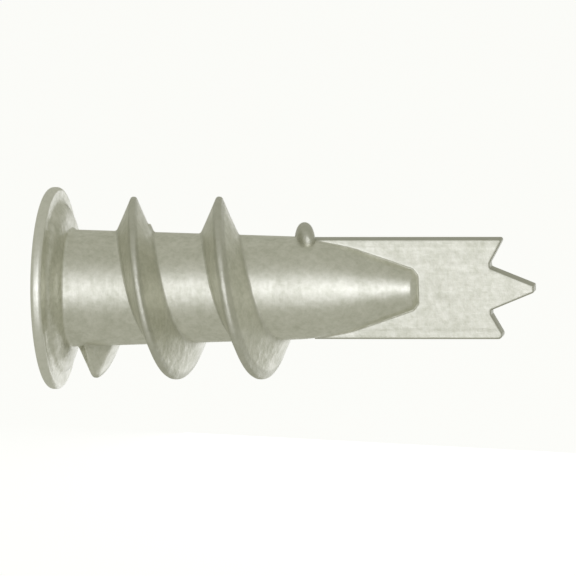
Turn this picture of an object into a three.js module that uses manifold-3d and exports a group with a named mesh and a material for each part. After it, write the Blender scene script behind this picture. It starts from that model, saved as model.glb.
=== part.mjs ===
// Self-drilling plasterboard anchor, die cast in zinc, driven by a cross-point screwdriver.
//
// The casting is divided into its working regions, one named mesh each: flange, barrel, thread,
// nose, blade, centre_point and two spurs. The regions meet at thin seams.
//
// Frame, in millimetres: the origin is on the axis, in the plane where the flange's flat land
// presses on the wall. +X runs into the wall towards the drill point, +Z lies in the plane of the
// flat blade, and Y crosses the blade's thickness. Angles about the axis start at +Z and grow
// towards -Y, the way that a right-hand thread advances along +X.

import * as THREE from 'three';
import { ParametricGeometry } from 'three/addons/geometries/ParametricGeometry.js';
import { mergeVertices } from 'three/addons/utils/BufferGeometryUtils.js';
import Module from 'manifold-3d';

// ---------- driving dimensions ----------

const seam = 0.02;               // gap between neighbouring regions of the casting
const aroundSteps = 48;          // facets round the axis, a multiple of 4

// Flange: a thin disc with a flat land round its underside and a shallow dome inside the land
const flangeRadius = 7.8;
const flangeThickness = 0.85;
const rimRounding = 0.2;
const seatLandWidth = 0.7;
const domeRadius = 6.1;          // where the dome turns towards the barrel
const domeHeight = 0.62;
const collarHeight = 0.98;       // where the dome meets the barrel

// Barrel: a slightly tapered tube from the collar to the nose
const barrelRootRadius = 4.55;
const barrelTipRadius = 3.93;
const barrelLength = 19.9;       // from the wall seat

// Nose: an easy shoulder, a cone and a rounded end
const noseShoulderLength = 3.1;
const noseShoulderRadius = 3.3;
const noseConeLength = 4.65;
const noseConeEndRadius = 1.77;
const noseRounding = 0.52;

// Thread: a sharp coarse ridge that falls to a low rounded lead-in beside the nose
const threadCrestRadius = 7.05;
const threadPitch = 6.72;
const threadCrestFlat = 0.34;
const threadHeadRun = 1.12;      // axial run of the flank that faces the head
const threadTipRun = 1.18;       // axial run of the flank that faces the drill point
const threadStart = 2.02;        // crest position where the ridge begins, from the wall seat
const threadTopCrossing = 5.92;  // crest position where it first passes the +Z side
const threadEndGap = 0.1;        // from the end of the lead-in's crest to the barrel's end
const threadRiseAngle = 30;      // run-out beside the flange
const threadFallAngle = 180;     // falls from full height to the lead-in's height
const threadLeadAngle = 40;      // length of the low lead-in
const threadLeadHeight = 1.2;
const threadRoundAngle = 16;     // blunt rounding of the lead-in's end
const threadStepAngle = 7.5;

// Screw passage: a cross recess in the head, then a bore that stops inside the nose
const recessSpan = 6.4;          // across two opposite wings, at the outer face
const recessFloorSpan = 4.0;
const recessDepth = 6.5;
const recessWingWidth = 1.4;
const recessFloorWingWidth = 1.0;
const boreMouthRadius = 2.6;
const boreMouthDepth = 1.0;
const boreRadius = 2.1;
const boreShoulderRadius = 1.75; // where the nose's cone begins
const boreEndRadius = 0.45;
const boreEndWall = 2.2;         // solid metal between the bore's end and the nose's end

// Drill blade: a flat spade that the nose lies on
const bladeWidth = 7.8;
const bladeThickness = 1.3;
const bladeSetback = 0.4;        // from the barrel's end to where the side fins begin
const bladeReach = 5.6;          // from the nose's end to the root of the teeth
const pointLength = 3.37;
const pointBaseWidth = 3.3;
const pointTipWidth = 0.56;      // chisel edge
const notchWidth = 0.35;         // flat root between the point and each spur
const spurLength = 1.07;

// ---------- places that follow from them ----------

const outerFace = -flangeThickness;
const noseShoulderEnd = barrelLength + noseShoulderLength;
const noseConeEnd = noseShoulderEnd + noseConeLength;
const noseEnd = noseConeEnd + noseRounding;
const bladeStart = barrelLength + bladeSetback;
const toothRoot = noseEnd + bladeReach;

const crestAngle = (x) => (x - threadTopCrossing) / threadPitch * 360;
const crestX = (angle) => threadTopCrossing + threadPitch * angle / 360;

// Outer radius of the barrel and nose at a distance from the wall seat
function coreRadius(x) {
  const stations = [0, barrelLength, noseShoulderEnd, noseConeEnd];
  const radii = [barrelRootRadius, barrelTipRadius, noseShoulderRadius, noseConeEndRadius];
  for (let i = 1; i < stations.length; i++) {
    if (x <= stations[i]) {
      const share = (x - stations[i - 1]) / (stations[i] - stations[i - 1]);
      return THREE.MathUtils.lerp(radii[i - 1], radii[i], share);
    }
  }
  return noseConeEndRadius;
}

// ---------- solids ----------

const wasm = await Module();
wasm.setup();

// A closed geometry as a solid: shared vertices are merged and collapsed triangles dropped
function solid(geometry) {
  const bare = geometry.clone();
  bare.deleteAttribute('normal');
  bare.deleteAttribute('uv');
  const merged = mergeVertices(bare, 1e-5);
  const index = Array.from(merged.index.array);
  const kept = [];
  for (let i = 0; i < index.length; i += 3) {
    const [a, b, c] = index.slice(i, i + 3);
    if (a !== b && b !== c && c !== a) kept.push(a, b, c);
  }
  const vertProperties = new Float32Array(merged.attributes.position.array);
  return new wasm.Manifold(new wasm.Mesh({ numProp: 3, vertProperties, triVerts: new Uint32Array(kept) }));
}

function geometryOf(manifold) {
  const mesh = manifold.getMesh();
  const geometry = new THREE.BufferGeometry();
  geometry.setAttribute('position', new THREE.BufferAttribute(mesh.vertProperties, 3));
  geometry.setIndex(new THREE.BufferAttribute(mesh.triVerts, 1));
  geometry.computeVertexNormals();
  return geometry;
}

// A profile of [x, radius] points, in order along +X, turned round the axis
function turned(points) {
  const profile = points.map(([x, radius]) => new THREE.Vector2(radius, x));
  return solid(new THREE.LatheGeometry(profile, aroundSteps).rotateZ(-Math.PI / 2));
}

// An outline of [x, z] points, extruded across the blade's thickness and centred on Y
function plate(points) {
  const outline = new THREE.Shape(points.map(([x, z]) => new THREE.Vector2(x, z)));
  const geometry = new THREE.ExtrudeGeometry(outline, { depth: bladeThickness, bevelEnabled: false });
  return solid(geometry.translate(0, 0, -bladeThickness / 2).rotateX(Math.PI / 2));
}

// A quarter circle of [x, radius] points about a centre. It begins on the side that faces the
// head, or a quarter turn later, at the side farthest from the axis.
function quarterRound(centreX, centreRadius, size, startTurn, steps) {
  const points = [];
  for (let i = 0; i <= steps; i++) {
    const turn = startTurn + i / steps * Math.PI / 2;
    points.push([centreX - size * Math.cos(turn), centreRadius + size * Math.sin(turn)]);
  }
  return points;
}

// ---------- the screw's passage, cut from flange, barrel and nose ----------

// One bar of the cross: a box whose far end is narrowed to the recess floor's size
function recessBar(turn) {
  const overshoot = 0.5;
  const length = recessDepth + overshoot;
  const bar = new THREE.BoxGeometry(length, recessWingWidth, recessSpan);
  const position = bar.attributes.position;
  for (let i = 0; i < position.count; i++) {
    if (position.getX(i) > 0) {
      position.setY(i, position.getY(i) * recessFloorWingWidth / recessWingWidth);
      position.setZ(i, position.getZ(i) * recessFloorSpan / recessSpan);
    }
  }
  return solid(bar.translate(outerFace - overshoot + length / 2, 0, 0).rotateX(turn));
}

function screwPassage() {
  const overshoot = 0.5;
  const bore = turned([
    [outerFace - overshoot, 0],
    [outerFace - overshoot, boreMouthRadius],
    [outerFace, boreMouthRadius],
    [outerFace + boreMouthDepth, boreRadius],
    [barrelLength, boreRadius],
    [noseShoulderEnd, boreShoulderRadius],
    [noseEnd - boreEndWall, boreEndRadius],
    [noseEnd - boreEndWall, 0],
  ]);
  return bore.add(recessBar(0)).add(recessBar(Math.PI / 2));
}

// ---------- regions of the casting ----------

function flange(passage) {
  const flatRadius = flangeRadius - rimRounding;
  return turned([
    [outerFace, 0],
    ...quarterRound(outerFace + rimRounding, flatRadius, rimRounding, 0, 3),
    ...quarterRound(-rimRounding, flatRadius, rimRounding, Math.PI / 2, 3),
    [0, flatRadius - seatLandWidth],
    [domeHeight, domeRadius],
    [collarHeight, barrelRootRadius],
    [collarHeight, 0],
  ]).subtract(passage);
}

function barrel(passage) {
  return turned([
    [collarHeight + seam, 0],
    [collarHeight + seam, coreRadius(collarHeight)],
    [barrelLength, barrelTipRadius],
    [barrelLength, 0],
  ]).subtract(passage);
}

// Profile of the nose from its shoulder to the axis, grown outwards by a clearance
function noseProfile(clearance) {
  const size = noseRounding + clearance;
  return [
    [noseShoulderEnd, noseShoulderRadius + clearance],
    ...quarterRound(noseConeEnd, noseConeEndRadius - noseRounding, size, Math.PI / 2, 4),
    [noseEnd + clearance, 0],
  ];
}

function nose(passage) {
  const start = barrelLength + seam;
  return turned([[start, 0], [start, coreRadius(start)], ...noseProfile(0)]).subtract(passage);
}

// Height of the ridge above the barrel, by the crest's angle
function threadHeight(angle, startAngle, endAngle) {
  const full = threadCrestRadius - coreRadius(crestX(angle));
  const leadStart = endAngle - threadLeadAngle;
  const rise = THREE.MathUtils.smoothstep(angle, startAngle, startAngle + threadRiseAngle);
  const fall = THREE.MathUtils.smoothstep(angle, leadStart - threadFallAngle, leadStart);
  const toEnd = Math.min((endAngle - angle) / threadRoundAngle, 1);
  const rounding = Math.sqrt(1 - (1 - toEnd) ** 2);
  return THREE.MathUtils.lerp(full, threadLeadHeight, fall) * rise * rounding;
}

// The ridge: a section carried along the helix, with its foot sunk under the barrel's skin, less
// the barrel, nose and flange that it grows from. Each corner of the section says whether it has
// risen from the foot to the skin, and from the skin to the crest. The section closes up to a
// point at both ends of the helix.
function thread() {
  const startAngle = crestAngle(threadStart);
  const endAngle = crestAngle(barrelLength - threadEndGap);
  const fullHeight = threadCrestRadius - barrelRootRadius;
  const stations = Math.ceil((endAngle - startAngle) / threadStepAngle);
  const footDepth = 0.8;
  const halfCrest = threadCrestFlat / 2;
  const corners = [
    { skin: 0, crest: 0, along: -halfCrest - threadHeadRun },
    { skin: 0, crest: 0, along: halfCrest + threadTipRun },
    { skin: 1, crest: 0, along: halfCrest + threadTipRun },
    { skin: 1, crest: 1, along: halfCrest },
    { skin: 1, crest: 1, along: -halfCrest },
    { skin: 1, crest: 0, along: -halfCrest - threadHeadRun },
  ];
  const sweep = new ParametricGeometry((u, v, target) => {
    const corner = corners[Math.round(u * corners.length) % corners.length];
    const angle = THREE.MathUtils.lerp(startAngle, endAngle, v);
    const height = threadHeight(angle, startAngle, endAngle);
    const open = Math.min(height / fullHeight, 1);
    const footRise = footDepth * Math.min(1, 4 * open);
    const foot = coreRadius(crestX(angle)) - footDepth;
    const radius = foot + footRise * corner.skin + height * corner.crest;
    const x = crestX(angle) + corner.along * open;
    const turn = THREE.MathUtils.degToRad(angle);
    target.set(x, -radius * Math.sin(turn), radius * Math.cos(turn));
  }, corners.length, stations);

  const core = turned([
    [collarHeight / 2, 0],
    [collarHeight / 2, coreRadius(collarHeight / 2) + seam],
    [barrelLength, barrelTipRadius + seam],
    ...noseProfile(seam),
  ]);
  const footOfFlange = turned([
    [outerFace, 0],
    [outerFace, flangeRadius],
    [seam, flangeRadius],
    [seam, flangeRadius - rimRounding - seatLandWidth],
    [domeHeight + seam, domeRadius + seam],
    [collarHeight + seam, barrelRootRadius + seam],
    [collarHeight + seam, 0],
  ]);
  return solid(sweep).subtract(core).subtract(footOfFlange);
}

// The spade, less the nose that lies on it
function blade() {
  const half = bladeWidth / 2;
  const end = toothRoot - seam;
  const noseSpace = turned([
    [barrelLength, 0],
    [barrelLength, barrelTipRadius + seam],
    ...noseProfile(seam),
  ]);
  const outline = [[bladeStart, -half], [end, -half], [end, half], [bladeStart, half]];
  return plate(outline).subtract(noseSpace);
}

function centrePoint() {
  return plate([
    [toothRoot, -pointBaseWidth / 2],
    [toothRoot + pointLength, -pointTipWidth / 2],
    [toothRoot + pointLength, pointTipWidth / 2],
    [toothRoot, pointBaseWidth / 2],
  ]);
}

// A spur fills what the point and a notch leave of the blade's end
function spur(side) {
  const half = bladeWidth / 2;
  const outline = [
    [toothRoot, side * half],
    [toothRoot, side * (pointBaseWidth / 2 + notchWidth)],
    [toothRoot + spurLength, side * half],
  ];
  return plate(side > 0 ? outline : outline.reverse());
}

// ---------- assembly ----------

const group = new THREE.Group();
group.name = 'wall_anchor';

function addRegion(name, manifold) {
  const castZinc = new THREE.MeshStandardMaterial({ color: 0xc6c7bb, roughness: 0.42, metalness: 1 });
  const mesh = new THREE.Mesh(geometryOf(manifold), castZinc);
  mesh.name = name;
  group.add(mesh);
}

const passage = screwPassage();
addRegion('flange', flange(passage));
addRegion('barrel', barrel(passage));
addRegion('thread', thread());
addRegion('nose', nose(passage));
addRegion('blade', blade());
addRegion('centre_point', centrePoint());
addRegion('spur_upper', spur(1));
addRegion('spur_lower', spur(-1));

export default group;
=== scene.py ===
"""Self-drilling wall anchor in die-cast zinc: flange, barrel, thread, nose and drill blade.

Every surface is worked out on a grid with numpy, in metres. The anchor lies along X, with the
wall side of its flange at x = 0 and its drill point towards +X. The blade lies in the X-Z plane.
Angles about the axis start at +Z and grow towards -Y, as a right-hand thread advances along +X.
"""

import math

import bpy
import numpy as np
from bpy.props import FloatProperty, FloatVectorProperty, PointerProperty
from mathutils import Matrix, Vector


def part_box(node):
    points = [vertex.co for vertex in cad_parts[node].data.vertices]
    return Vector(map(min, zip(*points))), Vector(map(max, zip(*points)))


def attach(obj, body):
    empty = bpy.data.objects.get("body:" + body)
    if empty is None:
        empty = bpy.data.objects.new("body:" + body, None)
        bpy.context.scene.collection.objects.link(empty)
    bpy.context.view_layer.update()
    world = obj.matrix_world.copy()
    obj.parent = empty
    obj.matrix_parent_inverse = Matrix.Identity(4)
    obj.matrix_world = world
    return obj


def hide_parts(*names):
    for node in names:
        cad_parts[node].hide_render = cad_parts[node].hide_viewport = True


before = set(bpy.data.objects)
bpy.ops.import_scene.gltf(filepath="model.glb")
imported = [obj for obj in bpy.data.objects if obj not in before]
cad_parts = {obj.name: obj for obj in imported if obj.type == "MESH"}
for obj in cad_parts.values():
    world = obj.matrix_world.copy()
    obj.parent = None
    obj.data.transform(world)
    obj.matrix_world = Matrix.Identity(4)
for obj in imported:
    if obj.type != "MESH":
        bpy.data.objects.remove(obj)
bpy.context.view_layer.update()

bl_info = {
    "name": "Die-cast wall anchor",
    "version": (1, 0, 0),
    "blender": (4, 5, 0),
    "location": "3D View > Sidebar > Wall Anchor",
    "description": "Builds a self-drilling wall anchor with its finish and a small studio",
    "category": "Add Mesh",
}

MM = 0.001
COLUMNS = 400                # points round the axis on turned pieces
ROW_STEP = 0.25 * MM         # longest stretch along the flange's profile

FLANGE_LOW, FLANGE_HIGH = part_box("flange")
BARREL_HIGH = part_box("barrel")[1]
THREAD_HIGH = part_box("thread")[1]
NOSE_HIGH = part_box("nose")[1]
BLADE_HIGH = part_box("blade")[1]
POINT_LOW, POINT_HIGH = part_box("centre_point")
SPUR_LOW, SPUR_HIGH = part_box("spur_upper")


# ---------- sizes, finish and studio, as a user would change them ----------


def length(name, description, default):
    """A length property in metres."""
    return FloatProperty(name=name, description=description, default=default,
                         min=0.0, precision=5, unit="LENGTH", subtype="DISTANCE")


def angle(name, description, degrees):
    """An angle property, given in degrees."""
    return FloatProperty(name=name, description=description,
                         default=math.radians(degrees), unit="ROTATION", subtype="ANGLE")


def tint(name, description, default):
    """A linear colour property."""
    return FloatVectorProperty(name=name, description=description, default=default,
                               size=3, min=0.0, max=4.0, subtype="COLOR")


class AnchorBody(bpy.types.PropertyGroup):
    """Sizes of the flange, barrel and nose."""

    flange_radius: length("Flange radius", "Outside of the flange", FLANGE_HIGH.z)
    flange_thickness: length("Flange thickness", "Thickness at the rim", -FLANGE_LOW.x)
    rim_rounding: length("Rim rounding", "Rounding of the rim's edges", 0.34 * MM)
    seat_land: length("Seat land", "Width of the flat ring that presses on the wall", 0.7 * MM)
    dome_radius: length("Dome radius", "Where the flange's dome turns inwards", 6.1 * MM)
    dome_height: length("Dome height", "Height of the dome there", 0.62 * MM)
    collar_height: length("Collar height", "Where the dome meets the barrel", FLANGE_HIGH.x)
    collar_fillet: length("Collar fillet", "Radius between the dome and the barrel", 0.3 * MM)
    root_radius: length("Barrel root radius", "Barrel radius beside the flange", BARREL_HIGH.z)
    tip_radius: length("Barrel tip radius", "Barrel radius where the nose begins", NOSE_HIGH.z)
    barrel_end: length("Barrel end", "From the wall face to the end of the barrel", BARREL_HIGH.x)
    shoulder_end: length("Shoulder end", "From the wall face to the start of the cone", 23.0 * MM)
    shoulder_radius: length("Shoulder radius", "Nose radius where the cone starts", 3.3 * MM)
    cone_end: length("Cone end", "From the wall face to the end of the cone", 27.65 * MM)
    cone_end_radius: length("Cone end radius", "Nose radius where its end is rounded", 1.77 * MM)
    nose_end: length("Nose end", "From the wall face to the end of the nose", NOSE_HIGH.x)
    parting_height: length("Parting line", "Height of the line where the die's halves met", 0.03 * MM)
    parting_width: length("Parting line width", "Half width of that line", 0.08 * MM)


class AnchorPassage(bpy.types.PropertyGroup):
    """Sizes of the cross recess and bore that take the screw."""

    recess_span: length("Recess span", "Across two opposite wings at the head", 6.4 * MM)
    recess_floor_span: length("Recess floor span", "Across two wings at the floor", 4.0 * MM)
    recess_depth: length("Recess depth", "Depth of the cross recess", 6.5 * MM)
    wing_width: length("Wing width", "Width of a wing at the head", 1.4 * MM)
    wing_floor_width: length("Wing floor width", "Width of a wing at the floor", 1.0 * MM)
    mouth_radius: length("Mouth radius", "Bore radius at the head", 2.6 * MM)
    mouth_depth: length("Mouth depth", "Depth of the bore's lead-in", 1.0 * MM)
    bore_radius: length("Bore radius", "Bore radius along the barrel", 2.1 * MM)
    bore_shoulder_radius: length("Bore shoulder radius", "Bore radius at the cone", 1.75 * MM)
    bore_end_radius: length("Bore end radius", "Bore radius at its blind end", 0.45 * MM)
    bore_end_wall: length("Bore end wall", "Metal between the bore and the nose's end", 2.2 * MM)
    mouth_rounding: length("Mouth rounding", "Rounding of the recess's edge", 0.14 * MM)


class AnchorThread(bpy.types.PropertyGroup):
    """Sizes of the coarse thread."""

    crest_radius: length("Crest radius", "Outside of the thread", THREAD_HIGH.z)
    pitch: length("Pitch", "Advance for each turn", 6.72 * MM)
    crest_flat: length("Crest flat", "Width of the crest", 0.34 * MM)
    crest_rounding: length("Crest rounding", "Radius of the crest's edges", 0.19 * MM)
    burr_height: length("Burr height", "Height of the flash left in the thread's root", 0.45 * MM)
    burr_width: length("Burr width", "Half width of the flash along the axis", 0.16 * MM)
    burr_turn: FloatProperty(name="Burr turn", description="Half turn that the flash spans",
                             default=0.09, min=0.001, subtype="ANGLE")
    head_run: length("Head-side run", "Axial run of the flank that faces the head", 1.12 * MM)
    tip_run: length("Tip-side run", "Axial run of the flank that faces the point", 1.18 * MM)
    root_fillet: length("Root fillet", "Radius where the flanks meet the barrel", 0.3 * MM)
    start: length("Start", "Crest position where the thread begins", 2.02 * MM)
    top_crossing: length("Top crossing", "Crest position where it first passes +Z", 5.92 * MM)
    end_gap: length("End gap", "From the lead-in's end to the barrel's end", 0.1 * MM)
    lead_height: length("Lead-in height", "Height of the rounded lead-in", 1.15 * MM)
    lead_width: length("Lead-in width", "Width of the rounded lead-in", 1.42 * MM)
    rise_angle: angle("Rise", "Turn over which the thread rises beside the flange", 30)
    fall_angle: angle("Fall", "Turn over which it falls to the lead-in", 180)
    lead_angle: angle("Lead-in", "Turn that the low lead-in takes", 40)
    round_angle: angle("End rounding", "Turn that the rounded end takes", 17)


class AnchorBlade(bpy.types.PropertyGroup):
    """Sizes of the flat drill blade."""

    half_width: length("Half width", "From the axis to a long edge", BLADE_HIGH.z)
    half_thickness: length("Half thickness", "Half the blade's thickness", BLADE_HIGH.y)
    fin_start: length("Fin start", "Where the side fins leave the nose", BARREL_HIGH.x + 0.05 * MM)
    tooth_root: length("Tooth root", "From the wall face to the root of the teeth", POINT_LOW.x)
    point_end: length("Point end", "From the wall face to the centre point's edge", POINT_HIGH.x)
    point_base: length("Point base", "Half width of the point at its root", POINT_HIGH.z)
    point_tip: length("Point tip", "Half width of the point's edge", 0.28 * MM)
    spur_end: length("Spur end", "From the wall face to a spur's tip", SPUR_HIGH.x)
    spur_base: length("Spur base", "From the axis to a spur's inner root", SPUR_LOW.z)
    edge_rounding: length("Edge rounding", "Rounding of the blade's outline", 0.15 * MM)
    upper_spur_rounding: length("Upper spur rounding", "Tip radius of the spur at +Z", 0.2 * MM)
    lower_spur_rounding: length("Lower spur rounding", "Tip radius of the spur at -Z", 0.34 * MM)
    notch_rounding: length("Notch rounding", "Radius at the root of the teeth", 0.14 * MM)
    strip_width: length("Strip width", "Width of the low strip along the long edges", 0.6 * MM)
    strip_drop: length("Strip drop", "How far the strip lies below the face", 0.012 * MM)
    nose_fillet: length("Nose fillet", "Radius between the nose and the blade", 0.1 * MM)


class AnchorFinish(bpy.types.PropertyGroup):
    """Colours and surface of the cast zinc."""

    metal: tint("Metal", "Colour of the bare casting", (0.81, 0.805, 0.725))
    tarnish: tint("Tarnish", "Colour of the duller patches", (0.63, 0.635, 0.54))
    # The next colour lightens rubbed edges, and also paints a highlight on the blade beside the nose.
    wear_and_sheen: tint("Worn", "Colour of rubbed edges", (0.90, 0.90, 0.84))
    # The next colour is painted shade: it darkens the inside of the passage, the thread's roots,
    # crest and lead-in bead, and the blade's outline.
    painted_shade_tint: tint("Soot", "Colour inside the passage and on the sheared edges", (0.50, 0.50, 0.43))
    roughness: FloatProperty(name="Roughness", description="Gloss of the casting",
                             default=0.4, min=0.0, max=1.0, subtype="FACTOR")
    grain: FloatProperty(name="Grain", description="Strength of the cast grain",
                         default=1.0, min=0.0, max=4.0, subtype="FACTOR")


class AnchorStudio(bpy.types.PropertyGroup):
    """Camera, lights and floor."""

    azimuth: angle("Azimuth", "Camera direction round the anchor, towards the drill point", 11)
    elevation: angle("Elevation", "Camera height above the anchor", 9.5)
    view_width: length("View width", "Width of what the camera sees at the anchor", 44.35 * MM)
    aim: length("Aim", "Point on the axis in the middle of the view", 17.85 * MM)
    lens: FloatProperty(name="Lens", description="Focal length in millimetres",
                        default=900.0, min=10.0, subtype="DISTANCE_CAMERA")
    floor_depth: length("Floor depth", "From the axis down to the floor", 60 * MM)
    key_radiance: FloatProperty(name="Key light", description="Brightness of the soft front light",
                                default=0.78, min=0.0)
    fill_radiance: FloatProperty(name="Fill", description="Brightness of the wider light round it",
                                 default=0.47, min=0.0)
    back_radiance: FloatProperty(name="Back panel", description="Brightness of the panel behind",
                                 default=0.74, min=0.0)
    light_tint: tint("Light tint", "Colour of the soft lights", (0.97, 0.975, 1.09))
    surround: tint("Surround", "Colour of the room's light", (0.487, 0.49, 0.43))
    paper: tint("Paper", "Colour of the floor", (0.97, 0.97, 0.995))
    paper_glow: FloatProperty(name="Paper glow", description="The floor's own light",
                              default=0.505, min=0.0)


# ---------- profiles ----------


def rounded(corners, steps=10):
    """Points along a line of (a, b, radius) corners, each corner replaced by the arc of that
    radius that touches both of its sides."""
    corners = np.asarray(corners, float)
    points = [corners[0, :2]]
    for before, here, after in zip(corners[:-2], corners[1:-1], corners[2:]):
        radius = here[2]
        back = before[:2] - here[:2]
        ahead = after[:2] - here[:2]
        back /= np.linalg.norm(back)
        ahead /= np.linalg.norm(ahead)
        half_turn = math.acos(float(np.clip(back @ ahead, -1, 1))) / 2
        if radius == 0 or half_turn > math.pi / 2 - 1e-6:
            points.append(here[:2])
            continue
        reach = radius / math.tan(half_turn)
        middle = back + ahead
        centre = here[:2] + middle / np.linalg.norm(middle) * radius / math.sin(half_turn)
        first = here[:2] + back * reach - centre
        last = here[:2] + ahead * reach - centre
        sweep = math.pi - 2 * half_turn
        share = np.linspace(0, 1, steps + 1)[:, None]
        points.extend(centre + (np.sin((1 - share) * sweep) * first + np.sin(share * sweep) * last)
                      / math.sin(sweep))
    points.append(corners[-1, :2])
    return np.array(points)


def spaced(points, step):
    """The same line with points added, so that no stretch is longer than step."""
    sizes = np.linalg.norm(np.diff(points, axis=0), axis=1)
    counts = np.maximum(1, np.ceil(sizes / step).astype(int))
    whole = np.concatenate([i + np.arange(n) / n for i, n in enumerate(counts)] + [[len(sizes)]])
    index = np.arange(len(points))
    return np.stack([np.interp(whole, index, points[:, k]) for k in range(points.shape[1])], 1)


def resampled(points, count):
    """The same line as count points, evenly spaced along its length."""
    along = np.concatenate([[0], np.cumsum(np.linalg.norm(np.diff(points, axis=0), axis=1))])
    places = np.linspace(0, along[-1], count)
    return np.stack([np.interp(places, along, points[:, k]) for k in range(points.shape[1])], 1)


def smoothstep(value, start, end):
    """0 on start's side, 1 on end's side, and 3t^2 - 2t^3 between them."""
    share = np.clip((value - start) / (end - start), 0, 1)
    return share * share * (3 - 2 * share)


def soft_ramp(value, width):
    """0 below zero and value above it, with a soft corner: width * log(1 + exp(value / width))."""
    return width * np.logaddexp(0, value / width)


def around(columns):
    """Angles round the axis, closer together every quarter turn: t - 0.16 sin 4t."""
    turn = np.arange(columns) / columns * 2 * math.pi
    return turn - 0.16 * np.sin(4 * turn)


def on_axis(x, radius, turn):
    """Points at distances x along the axis and radius from it, at an angle from +Z towards -Y."""
    x, radius, turn = np.broadcast_arrays(x, radius, turn)
    return np.stack([x, -radius * np.sin(turn), radius * np.cos(turn)], -1)


# ---------- meshes ----------


def ring_faces(rows, columns, closed):
    """Four-sided faces of a grid whose columns meet, and whose last row meets the first if it
    is closed."""
    index = np.arange(rows * columns).reshape(rows, columns)
    beside = np.roll(index, -1, axis=1)
    below, below_beside = np.roll(index, -1, axis=0), np.roll(beside, -1, axis=0)
    faces = np.stack([index, beside, below_beside, below], -1)
    return (faces if closed else faces[:-1]).reshape(-1, 4)


def pole_faces(row, pole, first):
    """Triangles from a row of points to one point on the axis."""
    beside = np.roll(row, -1)
    poles = np.full_like(row, pole)
    return np.stack([poles, beside, row] if first else [row, beside, poles], -1)


def signed_volume(points, triangles):
    a, b, c = points[triangles[:, 0]], points[triangles[:, 1]], points[triangles[:, 2]]
    return float(np.einsum("ij,ij->", a, np.cross(b, c)) / 6)


def build_piece(name, points, quads, triangles, layers, material, replaced):
    """A closed mesh object from whole arrays, turned so that its faces point outwards, with
    soft shading across gentle edges, its finish, and its place in the frame."""
    split = np.concatenate([quads[:, [0, 1, 2]], quads[:, [0, 2, 3]], triangles])
    if signed_volume(points, split) < 0:
        quads, triangles = quads[:, ::-1], triangles[:, ::-1]
    mesh = bpy.data.meshes.new(name)
    mesh.vertices.add(len(points))
    mesh.vertices.foreach_set("co", points.ravel())
    loops = np.concatenate([quads.ravel(), triangles.ravel()])
    sizes = np.concatenate([np.full(len(quads), 4), np.full(len(triangles), 3)])
    mesh.loops.add(len(loops))
    mesh.loops.foreach_set("vertex_index", loops.astype(np.int32))
    mesh.polygons.add(len(sizes))
    mesh.polygons.foreach_set("loop_start", (np.cumsum(sizes) - sizes).astype(np.int32))
    mesh.update(calc_edges=True)
    mesh.validate()
    mesh.shade_smooth()
    mesh.set_sharp_from_angle(angle=math.radians(42))
    for layer, values in layers.items():
        attribute = mesh.attributes.new(layer, "FLOAT", "POINT")
        attribute.data.foreach_set("value", values.ravel().astype(np.float32))
    piece = bpy.data.objects.new(name, mesh)
    bpy.context.scene.collection.objects.link(piece)
    mesh.materials.append(material)
    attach(piece, "root")
    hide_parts(*replaced)
    return piece


# ---------- shared shapes of the casting ----------


def core_radius(body, x):
    """Outside of the barrel and nose: three straight tapers, joined by soft ramps where the
    shoulder and the cone begin."""
    root = body.collar_height
    barrel = (body.tip_radius - body.root_radius) / (body.barrel_end - root)
    shoulder = (body.shoulder_radius - body.tip_radius) / (body.shoulder_end - body.barrel_end)
    cone = (body.cone_end_radius - body.shoulder_radius) / (body.cone_end - body.shoulder_end)
    return (body.root_radius + barrel * (x - root)
            + (shoulder - barrel) * soft_ramp(x - body.barrel_end, 0.5 * MM)
            + (cone - shoulder) * soft_ramp(x - body.shoulder_end, 0.16 * MM))


def parting_line(body, radius, turn):
    """Height of the raised line where the die's halves met, at the top and the bottom: a bell
    curve of the distance from the blade's plane."""
    away = radius * np.sin(turn) / body.parting_width
    return body.parting_height * np.exp(-away ** 2)


def passage_radius(body, passage, x, turn, grown=0.0):
    """Inside of the casting at each angle: the bore and the two crossed bars of the recess,
    each a rounded oblong, taken together as a power mean so that their corners are soft."""
    outer = -body.flange_thickness
    share = np.clip((x - outer) / passage.recess_depth, 0, 1)
    span = (passage.recess_span + (passage.recess_floor_span - passage.recess_span) * share) / 2
    width = (passage.wing_width + (passage.wing_floor_width - passage.wing_width) * share) / 2
    floor = outer + passage.recess_depth
    span = span * (1 - 0.5 * smoothstep(x, floor - 0.2 * MM, floor + 0.1 * MM))
    bore_end = body.nose_end - passage.bore_end_wall
    bore = np.interp(
        x,
        [outer, outer + passage.mouth_depth, body.barrel_end, body.shoulder_end, bore_end],
        [passage.mouth_radius, passage.bore_radius, passage.bore_radius,
         passage.bore_shoulder_radius, passage.bore_end_radius])
    across, along = np.abs(np.sin(turn)), np.abs(np.cos(turn))
    power, blend = 7, 22
    bars = [((a / (span + grown)) ** power + (b / (width + grown)) ** power) ** (-1 / power)
            for a, b in ((along, across), (across, along))]
    return sum(r ** blend for r in (*bars, bore + grown)) ** (1 / blend)


# ---------- pieces ----------


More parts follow.
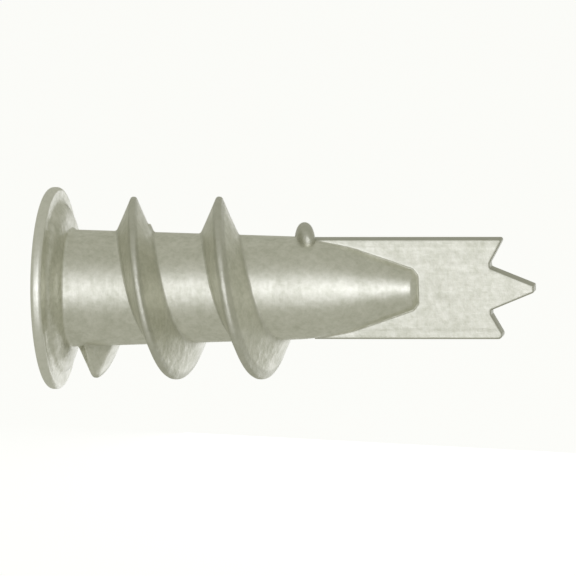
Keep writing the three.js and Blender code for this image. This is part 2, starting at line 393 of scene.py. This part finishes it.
def flange_piece(body, passage, material):
    """Flange: a profile turned round the axis. It runs over the rounded rim, the flat land, the
    shallow dome and its fillet, then back through the recess to the outer face, whose rows pass
    evenly from the rim's circle to the recess's cross."""
    turn = around(COLUMNS)[None, :]
    outer, radius = -body.flange_thickness, body.flange_radius
    joint = body.collar_height + 1.0 * MM
    land = radius - body.rim_rounding - body.seat_land
    edge = body.rim_rounding
    outside = spaced(rounded([
        (outer, land, 0),
        (outer, radius, edge),
        (0, radius, edge),
        (0, land, 1.2 * MM),
        (body.dome_height, body.dome_radius, 2.4 * MM),
        (body.collar_height, core_radius(body, body.collar_height), body.collar_fillet),
        (joint, core_radius(body, joint), 0),
    ]), ROW_STEP)
    outside = on_axis(outside[:, :1], outside[:, 1:], turn)

    inward = np.linspace(joint, outer + passage.mouth_rounding, 40)[:, None]
    inside = on_axis(inward, passage_radius(body, passage, inward, turn), turn)

    bend = np.linspace(0, math.pi / 2, 7)[1:, None]
    grown = passage.mouth_rounding * (1 - np.cos(bend))
    mouth_x = outer + passage.mouth_rounding * (1 - np.sin(bend))
    mouth_radius = passage_radius(body, passage, mouth_x, turn, grown)
    mouth = on_axis(mouth_x, mouth_radius, turn)

    share = np.linspace(0, 1, 26)[1:-1, None]
    face = on_axis(outer, mouth_radius[-1:] * (1 - share) + land * share, turn)
    points = np.concatenate([outside, inside, mouth, face])
    rows = len(points)

    out = np.linalg.norm(points[..., 1:], axis=-1)
    near_rim = smoothstep(out, radius - 0.45 * MM, radius - 0.05 * MM)
    inner = np.zeros((rows, 1))
    inner[len(outside):len(outside) + len(inside)] = 1
    inner = np.broadcast_to(inner, near_rim.shape)
    rough = ((1 - inner) * smoothstep(points[..., 0], -0.1 * MM, 0.02 * MM)
             * smoothstep(out, body.root_radius + 0.2 * MM, body.root_radius + 0.8 * MM))
    # The inside rows get painted shade: the recess and bore are darkened in colour.
    layers = {"wear_and_sheen": near_rim * 0.6, "painted_shade": inner, "rough": rough}
    return build_piece("cast_flange", points.reshape(-1, 3), ring_faces(rows, COLUMNS, True),
                       np.empty((0, 3), int), layers, material, ["flange"])


def barrel_piece(body, passage, material):
    """Barrel: a tube with a plain tapered outside and the recess and bore inside, with the
    parting line along its top and bottom."""
    turn = around(COLUMNS)[None, :]
    start = body.collar_height + 1.0 * MM
    end = body.barrel_end
    out_x = np.linspace(start, end, 72)[:, None]
    out_radius = core_radius(body, out_x)
    line = parting_line(body, out_radius, turn) * smoothstep(out_x, start, start + 0.4 * MM)
    outside = on_axis(out_x, out_radius + line, turn)
    in_x = np.linspace(end, start, 84)[:, None]
    inside = on_axis(in_x, passage_radius(body, passage, in_x, turn), turn)
    points = np.concatenate([outside, inside])
    wear_and_sheen = np.concatenate([line / body.parting_height * 0.8, np.zeros(inside.shape[:2])])
    # Painted shade: the bore inside is darkened in colour.
    painted_shade = np.concatenate([np.zeros(outside.shape[:2]), np.ones(inside.shape[:2])])
    return build_piece("cast_barrel", points.reshape(-1, 3), ring_faces(len(points), COLUMNS, True),
                       np.empty((0, 3), int), {"wear_and_sheen": wear_and_sheen, "painted_shade": painted_shade}, material, ["barrel"])


def nose_profile(body):
    """The nose's outside as (x, radius) points: shoulder and cone, then the rounded end."""
    cone_end, end = body.cone_end, body.nose_end
    skirt_x = np.linspace(body.barrel_end, cone_end - 0.45 * MM, 56)
    end_round = rounded([
        (cone_end - 0.4 * MM, core_radius(body, cone_end - 0.4 * MM), 0),
        (cone_end + 0.12 * MM, core_radius(body, cone_end + 0.12 * MM), 0.4 * MM),
        (end, 0.72 * body.cone_end_radius, 0.3 * MM),
        (end, 0.05 * MM, 0),
    ])
    return np.concatenate([np.stack([skirt_x, core_radius(body, skirt_x)], 1),
                           spaced(end_round, 0.1 * MM)])


def nose_piece(body, passage, material):
    """Nose: the shoulder and cone turned round the axis with a rounded end, and the bore's
    blind end inside. Both ends of the profile close in a point on the axis."""
    turn = around(COLUMNS)[None, :]
    start, end = body.barrel_end, body.nose_end
    profile = nose_profile(body)
    line = parting_line(body, profile[:, 1:], turn) * (profile[:, 1:] > body.cone_end_radius)
    outside = on_axis(profile[:, :1], profile[:, 1:] + line, turn)
    bore_end = end - passage.bore_end_wall
    in_x = np.linspace(bore_end, start, 40)[:, None]
    inside = on_axis(in_x, passage_radius(body, passage, in_x, turn), turn)
    rim_gap = np.array([outside[0], inside[-1]]).mean(0)[None]
    rows = np.concatenate([outside[::-1], rim_gap, inside[::-1]])
    count = len(rows) * COLUMNS
    points = np.concatenate([rows.reshape(-1, 3), [[end, 0, 0]], [[bore_end, 0, 0]]])
    index = np.arange(count).reshape(len(rows), COLUMNS)
    triangles = np.concatenate([pole_faces(index[0], count, True),
                                pole_faces(index[-1], count + 1, False)])
    # Painted shade: the bore's blind end is darkened in colour.
    painted_shade = np.concatenate([np.zeros((len(outside) + 1, COLUMNS)), np.ones(inside.shape[:2])])
    wear_and_sheen = np.concatenate([line[::-1] / body.parting_height * 0.8,
                           np.zeros((1 + len(inside), COLUMNS))])
    polish = smoothstep(points[:, 0], body.barrel_end, body.cone_end)
    layers = {"wear_and_sheen": np.append(wear_and_sheen, [0, 0]), "painted_shade": np.append(painted_shade, [0, 1]), "polish": polish}
    return build_piece("cast_nose", points, ring_faces(len(rows), COLUMNS, False), triangles,
                       layers, material, ["nose"])


def thread_section(thread, height, points):
    """Section of the full ridge as (axial offset, height) points: two straight flanks with
    fillets at their feet and a small rounded crest."""
    half, foot = thread.crest_flat / 2, thread.root_fillet
    sunk = -0.015 * MM
    crest = thread.crest_rounding
    outline = rounded([
        (-half - thread.head_run - foot, sunk, 0),
        (-half - thread.head_run, sunk, foot),
        (-half, height, crest),
        (half, height, crest),
        (half + thread.tip_run, sunk, 0.8 * foot),
        (half + thread.tip_run + foot, sunk, 0),
    ], 12)
    return resampled(outline, points)


def thread_piece(body, thread, material):
    """Thread: a section carried along the helix x = pitch * turns. The section shrinks to the
    barrel beside the flange. Near the nose it falls and turns into a low round bead, which ends
    in a quarter circle. A small bell-shaped burr stands in the root where the crest first
    passes +Z."""
    first = (thread.start - thread.top_crossing) / thread.pitch * 2 * math.pi
    last = (body.barrel_end - thread.end_gap - thread.top_crossing) / thread.pitch * 2 * math.pi
    turn = np.linspace(first, last, 520)
    crest_x = thread.top_crossing + thread.pitch * turn / (2 * math.pi)
    skin = core_radius(body, crest_x)
    full = thread.crest_radius - body.root_radius
    height = thread.crest_radius - skin

    lead_start = last - thread.lead_angle
    rise = smoothstep(turn, first, first + thread.rise_angle)
    fall = smoothstep(turn, lead_start - thread.fall_angle, lead_start)
    to_end = np.clip((last - turn) / thread.round_angle, 0, 1)
    end_round = np.sqrt(1 - (1 - to_end) ** 2)

    count = 72
    sharp = thread_section(thread, full, count)
    bow = np.linspace(math.pi, 0, count)
    bead = np.stack([thread.lead_width / 2 * np.cos(bow),
                     thread.lead_height * np.sin(bow) ** 0.8 - 0.015 * MM], 1)
    low = height + (thread.lead_height - height) * fall
    scale = (low / full * rise * end_round)[:, None]
    bead_share = smoothstep(fall, 0.55, 1)[:, None]
    offset = sharp[:, 0] * scale * (1 - bead_share) + bead[:, 0] * end_round[:, None] * bead_share
    above = sharp[:, 1] * scale * (1 - bead_share) + bead[:, 1] * end_round[:, None] * bead_share

    x = crest_x[:, None] + offset
    foot_x = thread.top_crossing + thread.crest_flat / 2 + thread.tip_run
    burr = np.exp(-((x - foot_x) / thread.burr_width) ** 2
                  - (turn[:, None] / thread.burr_turn) ** 2)
    above = above + thread.burr_height * burr
    radius = core_radius(body, x) + above
    under = core_radius(body, x[:, [-1, 0]]) - 0.3 * MM * (rise * end_round)[:, None]
    x = np.concatenate([x, x[:, [-1, 0]]], 1)
    radius = np.concatenate([radius, under], 1)
    rows = on_axis(x, radius, turn[:, None])[1:-1]
    ends = on_axis(crest_x[[0, -1]], skin[[0, -1]], turn[[0, -1]])

    columns = count + 2
    total = len(rows) * columns
    index = np.arange(total).reshape(len(rows), columns)
    triangles = np.concatenate([pole_faces(index[0], total, True),
                                pole_faces(index[-1], total + 1, False)])
    points = np.concatenate([rows.reshape(-1, 3), ends])
    high = np.concatenate([above, np.zeros((len(x), 2))], 1)[1:-1] / full
    # Painted shade: colour darkened at the ridge's foot, on its crest to tone down the crest's
    # highlight, and on the lead-in bead.
    foot, crest = 1 - smoothstep(high, 0.0, 0.25), smoothstep(high, 0.86, 0.97)
    painted_shade = np.maximum(0.45 * foot, np.maximum(0.6 * crest, 0.75 * bead_share[1:-1]))
    layers = {"painted_shade": np.append(painted_shade, [0, 0]), "rough": np.full(len(points), 0.85)}
    return build_piece("cast_thread", points, ring_faces(len(rows), columns, False), triangles,
                       layers, material, ["thread"])


def line_distance(points, line):
    """Distance from each (a, b) point to a line of points: the least over its stretches of the
    distance to the nearest place on each."""
    start, side = line[:-1], np.diff(line, axis=0)
    size = np.maximum((side ** 2).sum(1), 1e-18)
    gap = points[:, None] - start[None]
    share = np.clip((gap * side[None]).sum(2) / size, 0, 1)
    return np.linalg.norm(gap - share[..., None] * side[None], axis=2).min(1)


def round_drop(radius, distance):
    """How far a quarter circle of that radius has fallen at a distance from its edge."""
    inset = np.clip(radius - distance, 0, radius)
    return radius - np.sqrt(radius ** 2 - inset ** 2)


def blade_outline(blade):
    """The blade's outline as (x, z) points: the two long edges, and between them the spurs, the
    notches and the centre point."""
    half, root = blade.half_width, blade.tooth_root
    return rounded([
        (blade.fin_start, -half, 0),
        (blade.spur_end, -half, blade.lower_spur_rounding),
        (root, -blade.spur_base, blade.notch_rounding),
        (root, -blade.point_base, blade.notch_rounding),
        (blade.point_end, -blade.point_tip, blade.edge_rounding),
        (blade.point_end, blade.point_tip, blade.edge_rounding),
        (root, blade.point_base, blade.notch_rounding),
        (root, blade.spur_base, blade.notch_rounding),
        (blade.spur_end, half, blade.upper_spur_rounding),
        (blade.fin_start, half, 0),
    ])


def nose_outline(body, blade):
    """Where the nose meets the blade's face, as (x, z) points: its half width there is the root
    of radius squared less half thickness squared."""
    x, radius = nose_profile(body).T
    x, radius = x[radius > blade.half_thickness], radius[radius > blade.half_thickness]
    half = np.sqrt(radius ** 2 - blade.half_thickness ** 2)
    upper = np.append(np.stack([x, half], 1), [[body.nose_end, 0]], 0)
    return upper, np.concatenate([upper, upper[-2::-1] * [1, -1]])


def blade_grid(body, blade, outline):
    """Places (x, z) over the blade. Columns lie along X and are close together at the outline's
    corners. Each runs from inside the nose's wall, or from the start of the fins, to the toothed
    end, and its rows are close together near both ends."""
    near = blade.edge_rounding * np.array([0, 0.06, 0.2, 0.45, 0.8, 1.3, 2.0])
    corners = np.array([0, blade.point_tip, blade.point_base, blade.spur_base, blade.half_width])
    spans = zip(corners[:-1], corners[1:], (8, 40, 10, 44))
    side = np.concatenate([np.linspace(a, b, count) for a, b, count in spans]
                          + [blade.half_width - near, corners[1] - near, corners[2] - near,
                             corners[3] + near])
    side = np.unique(np.maximum(side, 0).round(8))
    z = np.concatenate([-side[:0:-1], side])

    wall = 0.45 * MM
    probe = np.linspace(blade.fin_start, body.nose_end - wall, 400)
    blunt = 1.6 * np.sqrt((body.nose_end - wall - probe) * MM)
    hidden = np.minimum(core_radius(body, probe) - wall, blunt)
    start = np.interp(-np.abs(z), -hidden, probe)
    end = np.interp(z, outline[1:-1, 1], outline[1:-1, 0])
    bend = blade.tooth_root - 1.2 * MM

    def stretch(first, last, count):
        return first + (last - first) * np.linspace(0, 1, count)[1:, None]

    x = np.concatenate([start + near[:, None],
                        stretch(start + near[-1], bend, 150),
                        stretch(bend, end - near[-1], 40),
                        end - near[-2::-1, None]])
    return x, np.broadcast_to(z, x.shape)


def blade_piece(body, blade, material):
    """Drill blade: a spade with two faces. Each stands half the thickness from the middle plane,
    less the rounding of the outline and the low strip along the long edges, plus the fillet that
    climbs the nose."""
    outline = blade_outline(blade)
    x, z = blade_grid(body, blade, outline)
    places = np.stack([x, z], -1).reshape(-1, 2)
    inset = line_distance(places, outline).reshape(x.shape)
    strip = blade.strip_drop * (1 - smoothstep(blade.half_width - np.abs(z),
                                               blade.strip_width, blade.strip_width * 1.5))
    nose, nose_line = nose_outline(body, blade)
    away = line_distance(places, nose_line).reshape(x.shape)
    away[np.abs(z) < np.interp(x, nose[:, 0], nose[:, 1], right=0)] = 0
    thick = (blade.half_thickness - strip - round_drop(blade.edge_rounding, inset)
             + round_drop(blade.nose_fillet, away))

    rows, columns = x.shape
    points = np.concatenate([np.stack([x, -thick, z], -1).reshape(-1, 3),
                             np.stack([x, thick, z], -1).reshape(-1, 3)])
    index = np.arange(rows * columns).reshape(rows, columns)
    face = np.stack([index[:-1, :-1], index[:-1, 1:], index[1:, 1:], index[1:, :-1]], -1)
    face = face.reshape(-1, 4)
    rim = np.concatenate([index[0], index[1:, -1], index[-1, -2::-1], index[-2:0:-1, 0]])
    after, shift = np.roll(rim, -1), rows * columns
    walls = np.stack([rim, rim + shift, after + shift, after], -1)
    quads = np.concatenate([face, face[:, ::-1] + shift, walls])

    # Painted shade: the outline's rounded edges and walls are darkened in colour.
    painted_shade = 1 - smoothstep(inset, 0.2 * blade.edge_rounding, 1.6 * blade.edge_rounding)
    # Painted highlight: a light fringe on the blade's faces beside the nose.
    wear_and_sheen = smoothstep(away, 0.7 * MM, 0.1 * MM) * 0.3
    layers = {"wear_and_sheen": np.tile(wear_and_sheen.ravel(), 2), "painted_shade": np.tile(painted_shade.ravel(), 2)}
    return build_piece("drill_blade", points, quads, np.empty((0, 3), int), layers, material,
                       ["blade", "centre_point", "spur_upper", "spur_lower"])


# ---------- finish ----------


class Value:
    """A socket that carries a number, a colour or a vector, with arithmetic on numbers."""

    def __init__(self, tree, socket):
        self.tree = tree
        self.socket = socket

    def math(self, operation, other=None, swapped=False):
        first, second = (other, self) if swapped else (self, other)
        inputs = {0: first} if second is None else {0: first, 1: second}
        return self.tree.node("ShaderNodeMath", {"operation": operation}, inputs)[0]

    def __add__(self, other):
        return self.math("ADD", other)

    def __radd__(self, other):
        return self.math("ADD", other, swapped=True)

    def __sub__(self, other):
        return self.math("SUBTRACT", other)

    def __rsub__(self, other):
        return self.math("SUBTRACT", other, swapped=True)

    def __mul__(self, other):
        return self.math("MULTIPLY", other)

    def __rmul__(self, other):
        return self.math("MULTIPLY", other, swapped=True)


class Tree:
    """A material's nodes, made one call at a time."""

    def __init__(self, name):
        self.material = bpy.data.materials.new(name)
        self.material.use_nodes = True
        self.nodes = self.material.node_tree.nodes
        self.links = self.material.node_tree.links
        self.nodes.clear()

    def node(self, kind, settings=None, inputs=None):
        """Adds a node, sets its settings, then its sockets. Returns its outputs as values."""
        made = self.nodes.new(kind)
        for key, value in (settings or {}).items():
            setattr(made, key, value)
        for key, value in (inputs or {}).items():
            socket = made.inputs[key]
            if isinstance(value, Value):
                self.links.new(value.socket, socket)
            else:
                socket.default_value = value
        return [Value(self, output) for output in made.outputs if output.enabled]

    def noise(self, place, scale, detail=3.0, roughness=0.5):
        return self.node("ShaderNodeTexNoise", {}, {
            "Vector": place, "Scale": scale, "Detail": detail, "Roughness": roughness})[0]

    def layer(self, name):
        """A number stored on the mesh's points."""
        return self.node("ShaderNodeAttribute", {"attribute_name": name})[2]

    def mix(self, share, first, second):
        return self.node("ShaderNodeMix", {"data_type": "RGBA"}, {
            "Factor": share, "A": first, "B": second})[0]

    def ramp(self, value, low, high, start=0.0, end=1.0):
        """A value that goes from start to end as the input goes from low to high, clamped."""
        return self.node("ShaderNodeMapRange", {"clamp": True}, {
            "Value": value, "From Min": low, "From Max": high, "To Min": start, "To Max": end})[0]

    def stretched(self, place, scale):
        return self.node("ShaderNodeMapping", {"vector_type": "POINT"}, {
            "Vector": place, "Scale": scale})[0]


def cast_zinc(name, finish, streaks):
    """Die-cast zinc: a satin metal with a fine pebbled skin, broad shallow flow marks, and
    patches of duller metal. Rubbed edges are lighter and smoother, rough places lumpier, and the
    nose's cone glossier. Painted shade darkens the inside of the passage, the thread's roots, crest
    and lead-in bead, and the blade's outline; a painted highlight lightens the blade beside the
    nose. Streaks run across the axis on turned pieces, and along it on the blade."""
    tree = Tree(name)
    place = tree.node("ShaderNodeTexCoord")[3]
    pebbles = tree.noise(place, 3600.0, 3.0, 0.6)
    flow = tree.noise(tree.stretched(place, streaks), 900.0, 4.0, 0.6)
    broad = tree.noise(place, 420.0, 3.0, 0.5)
    patches = tree.ramp(tree.noise(place, 800.0, 5.0, 0.65), 0.38, 0.66)
    specks = tree.ramp(tree.noise(place, 2600.0, 3.0, 0.6), 0.4, 0.66)
    lumps = tree.noise(tree.stretched(place, (1.6, 1.0, 1.0)), 1100.0, 3.0, 0.55)
    wear_and_sheen = tree.layer("wear_and_sheen")
    painted_shade = tree.layer("painted_shade")
    rough = tree.layer("rough")
    polish = tree.layer("polish")

    tarnished = tree.ramp(patches * 0.45 + specks * 0.4, 0.0, 0.9)
    colour = tree.mix(tarnished, (*finish.metal, 1), (*finish.tarnish, 1))
    # Lighter on rubbed edges, and a painted highlight on the blade beside the nose.
    colour = tree.mix(wear_and_sheen * 0.7, colour, (*finish.wear_and_sheen, 1))
    # Painted shade: darker inside the passage, at the thread's roots and crest, on its lead-in bead
    # and along the blade's outline.
    colour = tree.mix(painted_shade * 0.8, colour, (*finish.painted_shade_tint, 1))
    gloss = (finish.roughness + (flow - 0.5) * 0.2 + patches * 0.05 + painted_shade * 0.08 - wear_and_sheen * 0.06
             - polish * 0.09)

    height = pebbles * 0.006 + flow * 0.03 + broad * 0.035 + lumps * (0.05 + rough * 0.13)
    relief = tree.node("ShaderNodeBump", {}, {
        "Strength": min(1.0, 0.55 * finish.grain), "Distance": MM, "Height": height})[0]
    surface = tree.node("ShaderNodeBsdfPrincipled", {}, {
        "Base Color": colour, "Metallic": 1.0, "Roughness": gloss, "Normal": relief})[0]
    tree.node("ShaderNodeOutputMaterial", {}, {"Surface": surface})
    return tree.material


def plain_material(name, colour, glow):
    """The floor's paper: matt, with a little light of its own so that it stays even."""
    tree = Tree(name)
    surface = tree.node("ShaderNodeBsdfPrincipled", {}, {
        "Base Color": (*colour, 1), "Roughness": 1.0, "Specular IOR Level": 0.0,
        "Emission Color": (*colour, 1), "Emission Strength": glow})[0]
    tree.node("ShaderNodeOutputMaterial", {}, {"Surface": surface})
    return tree.material


def finish_for(name, finish):
    """The named finish, made once."""
    streaks = {"cast_zinc_turned": (2.6, 0.5, 0.5), "cast_zinc_blade": (0.35, 1.0, 2.2)}[name]
    return bpy.data.materials.get(name) or cast_zinc(name, finish, streaks)


# ---------- studio ----------


def soft_light(name, direction, distance, spread, radiance, target, colour):
    """An oval soft light that faces the target. Its half width and half height are seen from the
    target as the two angles of the spread. Its power is radiance * pi * area."""
    wide, high = distance * math.tan(spread[0]), distance * math.tan(spread[1])
    data = bpy.data.lights.new(name, "AREA")
    data.shape = "ELLIPSE"
    data.size = 2 * wide
    data.size_y = 2 * high
    data.energy = radiance * math.pi * math.pi * wide * high
    data.color = colour
    light = bpy.data.objects.new(name, data)
    light.location = target + direction * distance
    light.rotation_euler = direction.to_track_quat("Z", "Y").to_euler()
    light.visible_camera = False
    bpy.context.scene.collection.objects.link(light)
    return light


def towards(azimuth, elevation):
    """Unit vector from the anchor: azimuth 0 is -Y and grows towards +X."""
    return Vector((math.sin(azimuth) * math.cos(elevation),
                   -math.cos(azimuth) * math.cos(elevation), math.sin(elevation)))


def add_camera(studio):
    """A long lens on the drill-point side, rolled so that the anchor's axis is level."""
    back = towards(studio.azimuth, studio.elevation)
    axis = Vector((1, 0, 0))
    right = (axis - back * axis.dot(back)).normalized()
    up = back.cross(right)
    data = bpy.data.cameras.new("camera")
    data.lens = studio.lens
    data.clip_start, data.clip_end = 0.01, 20.0
    camera = bpy.data.objects.new("camera", data)
    distance = studio.view_width * studio.lens / data.sensor_width
    place = Matrix((right, up, back)).transposed().to_4x4()
    place.translation = Vector((studio.aim, 0, 0)) + back * distance
    camera.matrix_world = place
    bpy.context.scene.collection.objects.link(camera)
    bpy.context.scene.camera = camera


def add_floor(studio):
    """A wide round sheet of pale paper below the anchor: rings of points about its middle."""
    turn = np.arange(96) / 96 * 2 * math.pi
    radius = np.array([0.05, 0.2, 0.8, 3.0])[:, None]
    ring = np.stack([radius * np.cos(turn) + studio.aim, radius * np.sin(turn),
                     np.full((4, 96), -studio.floor_depth)], -1)
    faces = ring_faces(4, 96, False).tolist() + [list(range(96))[::-1]]
    mesh = bpy.data.meshes.new("floor")
    mesh.from_pydata(ring.reshape(-1, 3).tolist(), [], faces)
    floor = bpy.data.objects.new("floor", mesh)
    mesh.materials.append(plain_material("paper", studio.paper, studio.paper_glow))
    floor.visible_glossy = False
    bpy.context.scene.collection.objects.link(floor)


def add_lights(studio):
    """A soft light around the camera with a wider, fainter one behind it, a panel behind and
    below the anchor, and an even surround. Each row gives a light's azimuth and elevation, its
    distance, and its half width and half height as angles."""
    target = Vector((studio.aim, 0, 0))
    for name, azimuth, elevation, distance, wide, high, radiance in (
            ("key", 9, 7, 0.25, 27, 15, studio.key_radiance),
            ("fill", 9, 8, 0.27, 44, 34, studio.fill_radiance),
            ("back_panel", 165, -18, 0.25, 28, 20, studio.back_radiance)):
        soft_light(name, towards(math.radians(azimuth), math.radians(elevation)), distance,
                   (math.radians(wide), math.radians(high)), radiance, target,
                   studio.light_tint)
    world = bpy.data.worlds.new("surround")
    world.use_nodes = True
    background = world.node_tree.nodes["Background"]
    background.inputs["Color"].default_value = (*studio.surround, 1)
    background.inputs["Strength"].default_value = 1.0
    bpy.context.scene.world = world
    bpy.context.scene.view_settings.view_transform = "Standard"


# ---------- operators and panel ----------


class ANCHOR_OT_stage(bpy.types.Operator):
    """Sets the camera, the soft lights and the pale floor"""

    bl_idname = "anchor.stage"
    bl_label = "Studio"

    def execute(self, context):
        studio = context.scene.anchor_studio
        add_camera(studio)
        add_floor(studio)
        add_lights(studio)
        return {"FINISHED"}


class ANCHOR_OT_flange(bpy.types.Operator):
    """Builds the flange with its seat land, dome and cross recess"""

    bl_idname = "anchor.flange"
    bl_label = "Flange"

    def execute(self, context):
        scene = context.scene
        flange_piece(scene.anchor_body, scene.anchor_passage,
                     finish_for("cast_zinc_turned", scene.anchor_finish))
        return {"FINISHED"}


class ANCHOR_OT_barrel(bpy.types.Operator):
    """Builds the hollow barrel"""

    bl_idname = "anchor.barrel"
    bl_label = "Barrel"

    def execute(self, context):
        scene = context.scene
        barrel_piece(scene.anchor_body, scene.anchor_passage,
                     finish_for("cast_zinc_turned", scene.anchor_finish))
        return {"FINISHED"}


class ANCHOR_OT_thread(bpy.types.Operator):
    """Builds the coarse thread round the barrel"""

    bl_idname = "anchor.thread"
    bl_label = "Thread"

    def execute(self, context):
        scene = context.scene
        thread_piece(scene.anchor_body, scene.anchor_thread,
                     finish_for("cast_zinc_turned", scene.anchor_finish))
        return {"FINISHED"}


class ANCHOR_OT_nose(bpy.types.Operator):
    """Builds the nose with the bore's blind end"""

    bl_idname = "anchor.nose"
    bl_label = "Nose"

    def execute(self, context):
        scene = context.scene
        nose_piece(scene.anchor_body, scene.anchor_passage,
                   finish_for("cast_zinc_turned", scene.anchor_finish))
        return {"FINISHED"}


class ANCHOR_OT_blade(bpy.types.Operator):
    """Builds the flat drill blade with its centre point and two spurs"""

    bl_idname = "anchor.blade"
    bl_label = "Drill blade"

    def execute(self, context):
        scene = context.scene
        blade_piece(scene.anchor_body, scene.anchor_blade,
                    finish_for("cast_zinc_blade", scene.anchor_finish))
        return {"FINISHED"}


OPERATORS = (ANCHOR_OT_stage, ANCHOR_OT_flange, ANCHOR_OT_barrel, ANCHOR_OT_thread,
             ANCHOR_OT_nose, ANCHOR_OT_blade)
GROUPS = {"anchor_body": AnchorBody, "anchor_passage": AnchorPassage,
          "anchor_thread": AnchorThread, "anchor_blade": AnchorBlade,
          "anchor_finish": AnchorFinish, "anchor_studio": AnchorStudio}


class ANCHOR_PT_panel(bpy.types.Panel):
    """Lists the anchor's steps and their settings"""

    bl_idname = "ANCHOR_PT_panel"
    bl_label = "Wall Anchor"
    bl_space_type = "VIEW_3D"
    bl_region_type = "UI"
    bl_category = "Wall Anchor"

    def draw(self, context):
        for operator in OPERATORS:
            self.layout.operator(operator.bl_idname)
        for name, group in GROUPS.items():
            box = self.layout.box()
            box.label(text=group.__doc__)
            for key in group.__annotations__:
                box.prop(getattr(context.scene, name), key)


def register():
    for group in GROUPS.values():
        bpy.utils.register_class(group)
    for operator in OPERATORS:
        bpy.utils.register_class(operator)
    bpy.utils.register_class(ANCHOR_PT_panel)
    for name, group in GROUPS.items():
        setattr(bpy.types.Scene, name, PointerProperty(type=group))


def unregister():
    for name in GROUPS:
        delattr(bpy.types.Scene, name)
    bpy.utils.unregister_class(ANCHOR_PT_panel)
    for operator in reversed(OPERATORS):
        bpy.utils.unregister_class(operator)
    for group in reversed(GROUPS.values()):
        bpy.utils.unregister_class(group)


def main():
    register()
    for operator in OPERATORS:
        getattr(bpy.ops.anchor, operator.bl_idname.split(".")[1])()


if __name__ == "__main__":
    main()
